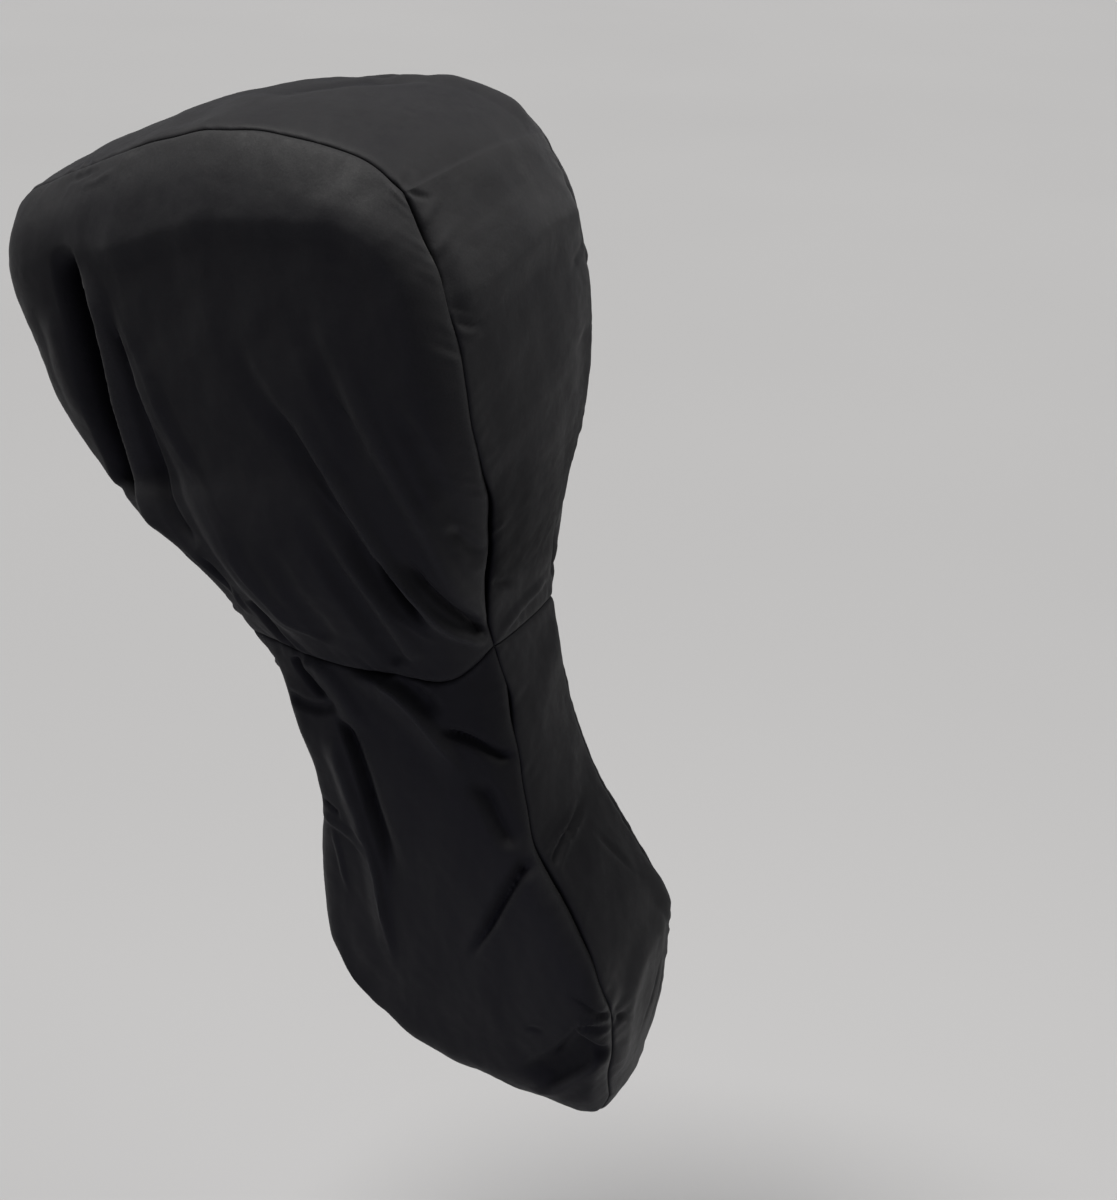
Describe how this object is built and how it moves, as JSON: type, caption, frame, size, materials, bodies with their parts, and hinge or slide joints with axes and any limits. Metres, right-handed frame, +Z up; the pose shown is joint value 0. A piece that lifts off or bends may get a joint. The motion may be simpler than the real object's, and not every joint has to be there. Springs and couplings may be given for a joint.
{
  "type": "outboard motor cover",
  "caption": "Fitted full-length cloth cover for an outboard motor, hollow, with a wide centre band, side panels for the cowl and the leg, and a front left open below the cowl.",
  "frame": {"origin": "inner face of the centre band at the top of the cowl, on the centreline, where the cover rests on the motor", "axes": "+Z up, +X to the rear, away from the boat, +Y to starboard; the motor is trimmed up, so the leg runs down and back"},
  "size_m": [0.949, 0.551, 1.5701],
  "materials": {
    "polyester": "black woven polyester, matt with a faint sheen"
  },
  "bodies": {
    "root": {"gusset_upper": "polyester", "gusset_lower": "polyester", "side_upper_port": "polyester", "side_upper_starboard": "polyester", "side_lower_port": "polyester", "side_lower_starboard": "polyester"}
  },
  "joints": []
}
